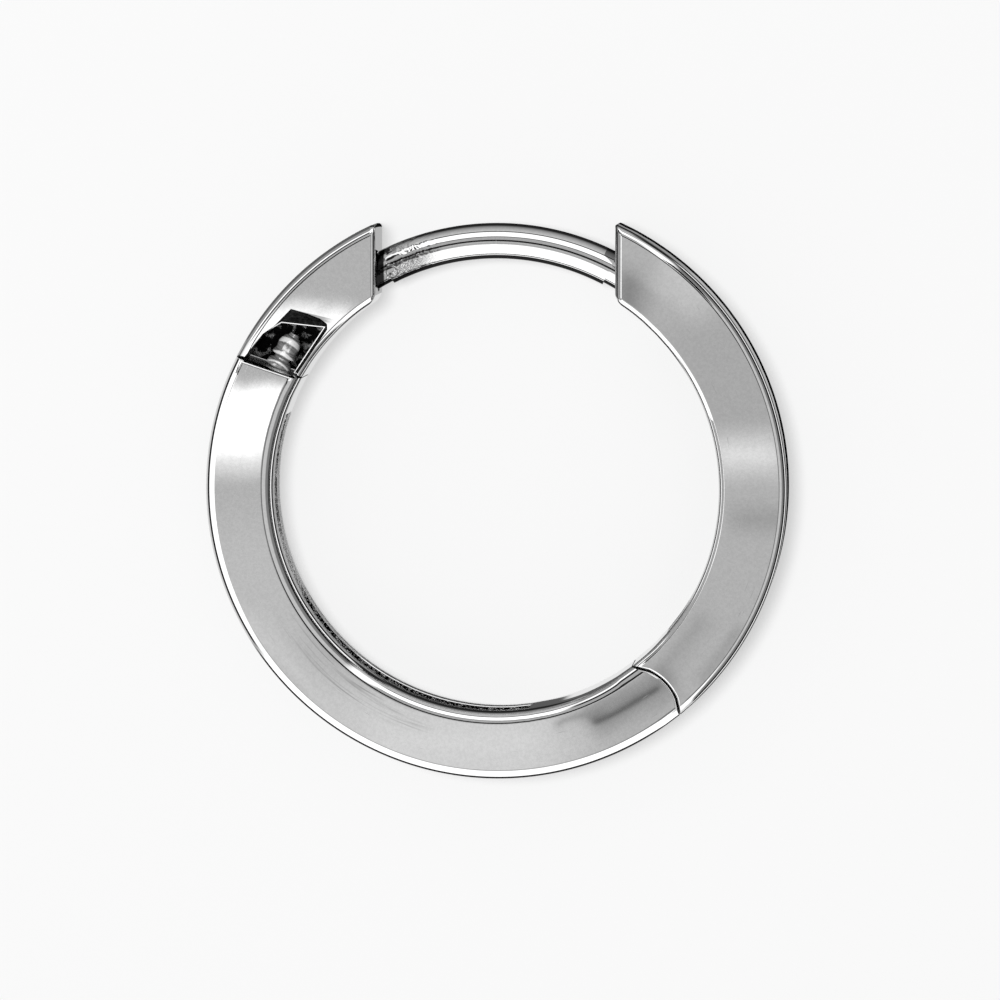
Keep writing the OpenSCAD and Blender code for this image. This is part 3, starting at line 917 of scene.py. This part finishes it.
# Front arm
# The right half of the hoop, of the same polished band. Its tongue turns on the pin between the
# cheeks of the back arm, and its upright end face holds the ear wire.
channel_from_pin_front, channel_from_top = 2.0, 4.6
front_outer_r = 0.21
front_seam_r = seam_r + seam_gap
front_outer_a = seam_meets(hoop_r, seam_gap)
front_inner_a = seam_meets(bore_r, seam_gap)
front_channel_start = pin_a + degrees_at(channel_from_pin_front, bore_r)
front_channel_end = 90 - degrees_at(channel_from_top, bore_r)
end_outer = Vector((end_x, end_height(hoop_r), 0))
end_inner = Vector((end_x, end_height(bore_r), 0))
front_turn = angle_of(polar(hoop_r, front_outer_a) - pin_place) - angle_of(
    polar(bore_r, front_inner_a) - pin_place)
bm = planform(polar(hoop_r, front_outer_a), [
    (origin, angle_of(end_outer) - front_outer_a, hoop_step),
    end_inner,
    (origin, front_channel_end - angle_of(end_inner), hoop_step),
    (origin, front_channel_start - front_channel_end, hoop_step),
    (origin, front_inner_a - front_channel_start, hoop_step),
    (pin_place, (front_turn + 180) % 360 - 180, seam_step)])
raise_walls(bm, 0, band_w)
cut_channel(bm, front_channel_start, front_channel_end)
upright_end = on_line(Vector((end_x, 0, 0)), Vector((0, 1, 0)))
mark_edges(bm, channel_rim_r, on_circle(bore_r), channel_edges)
mark_edges(bm, seam_rim_r, on_circle(front_seam_r, pin_place))
mark_edges(bm, face_rim_r, upright_end)
mark_edges(bm, corner_rim_r, upright_end, on_circle(bore_r), upright=True)
mark_edges(bm, tip_rim_r / 2, upright_end, on_circle(hoop_r), upright=True)
mark_edges(bm, front_outer_r, on_circle(hoop_r), side_faces)
mark_edges(bm, front_rim_r, on_circle(bore_r), side_faces)
darken_walls(bm, 2, on_circle(front_seam_r, pin_place))
filed, *_ = finish_polish("filed_silver", 0.22, 0.06, 0.000002)
front_arm = to_object("front_arm_polished", bm, [polished, rough_cast, dark_cast, filed])
round_marked(front_arm)
filed_zone, filed_edge = 0.3, 0.1
for face in front_arm.data.polygons:
    at_end = face.center.y > 0 and face.center.x < end_x + filed_zone
    if at_end and face.normal.x < -0.1 and face.center.to_2d().length > bore_r + filed_edge:
        face.material_index = 3
neck = at_pin(raise_walls(planform(Vector((0, neck_w / 2, 0)), [
    Vector((0, -neck_w / 2, 0)),
    Vector((seam_r + cut_over / 2, -neck_w / 2, 0)),
    Vector((seam_r + cut_over / 2, neck_w / 2, 0))]), mid_z - tongue_w / 2, mid_z + tongue_w / 2))
tongue = to_object("tongue", neck, [polished])
combine(tongue, "UNION", to_object(
    "knuckle", disc(knuckle_r, mid_z - tongue_w / 2, mid_z + tongue_w / 2, pin_place), [polished]))
combine(front_arm, "UNION", tongue)
pin_gap = 0.03
combine(front_arm, "DIFFERENCE", to_object(
    "tongue_bore", disc(pin_d / 2 + pin_gap, -cut_over, band_w + cut_over, pin_place, 64), [rough_cast]))
combine(front_arm, "DIFFERENCE", to_object("wire_seat", bent_bar(
    tip_d / 2 + seat_gap, root_a - degrees_at(seat_gap, wire_r), 80), [rough_cast]))
finish_piece(front_arm, "front", "polished_silver", "front_arm")

# Ear wire
# Round silver wire, bent to the hoop and turned down at both ends: one is fixed in the front arm, the
# free one snaps into the block. The file and the dents of use show near its free tip.
wire_metal, tree, spot = finish_polish("wire_silver", 0.86, 0.03, 0.000001)
wire_x = add_node(tree, "ShaderNodeSeparateXYZ", inputs={0: spot["Place"]}).outputs[0]
across = add_node(tree, "ShaderNodeSeparateXYZ", inputs={0: spot["Ring"]}).outputs[0]
near_tip = smooth_step(tree, wire_x, -1.3, -2.2)
ripples = add_node(tree, "ShaderNodeTexNoise", inputs={
    "Vector": spot["Place"], "Scale": 2.2, "Detail": 2.0, "Distortion": 1.6}).outputs["Fac"]
folds = math_node(tree, "PINGPONG", math_node(tree, "MULTIPLY", ripples, 9.0), 0.5)
dents = math_node(tree, "MULTIPLY", ripples, near_tip)
worn_flat = math_node(tree, "MULTIPLY", near_tip, smooth_step(
    tree, across, wire_r + 0.10, wire_r + 0.02))
shader = tree.nodes["Principled BSDF"]
clean = shader.inputs["Base Color"].links[0].from_socket
worn = mix_colours(tree, smooth_step(tree, folds, 0.03, 0.12), 0.08, 0.30)
worn = mix_colours(tree, smooth_step(tree, folds, 0.42, 0.48), worn, 0.75)
worn = mix_colours(tree, worn_flat, clean, worn)

# A small ring and two dots, dented into the wire: their places, the ring's radius and half widths
dent_z = 1.35
for x, y, ring_r, width in [
        (-2.70, 5.55, 0.15, 0.01), (-2.74, 5.52, 0.0, 0.04), (-2.13, 5.93, 0.0, 0.04)]:
    away = add_node(tree, "ShaderNodeVectorMath", operation="DISTANCE",
                    inputs={0: spot["Place"], 1: (x, y, dent_z)}).outputs["Value"]
    off_ring = math_node(tree, "ABSOLUTE", math_node(tree, "SUBTRACT", away, ring_r))
    worn = mix_colours(tree, smooth_step(tree, off_ring, width + 0.02, width - 0.02), worn, 0.03)

# The neck between the wire's shoulder and the block is in the dark
worn = mix_colours(tree, smooth_step(tree, wire_x, -2.88, -2.93), worn, 0.015)
tree.links.new(worn, shader.inputs["Base Color"])
even_normal = shader.inputs["Normal"].links[0].from_socket
tree.links.new(add_node(tree, "ShaderNodeBump", inputs={
    "Height": dents, "Distance": 0.00002, "Strength": 1.0, "Normal": even_normal}).outputs["Normal"],
    shader.inputs["Normal"])
free_room = 0.06
shoulder_a = math.degrees(math.acos((end_x - neck_show) / wire_r))
ear_wire = to_object("ear_wire_bent", bent_bar(
    wire_d / 2, shoulder_a, 180 - shoulder_a - degrees_at(free_room, wire_r)), [wire_metal])
combine(ear_wire, "UNION", to_object(
    "reduced_ends", bent_bar(tip_d / 2, root_a, 180 - tip_a), [wire_metal]))
finish_piece(ear_wire, "front", "wire_silver", "ear_wire")
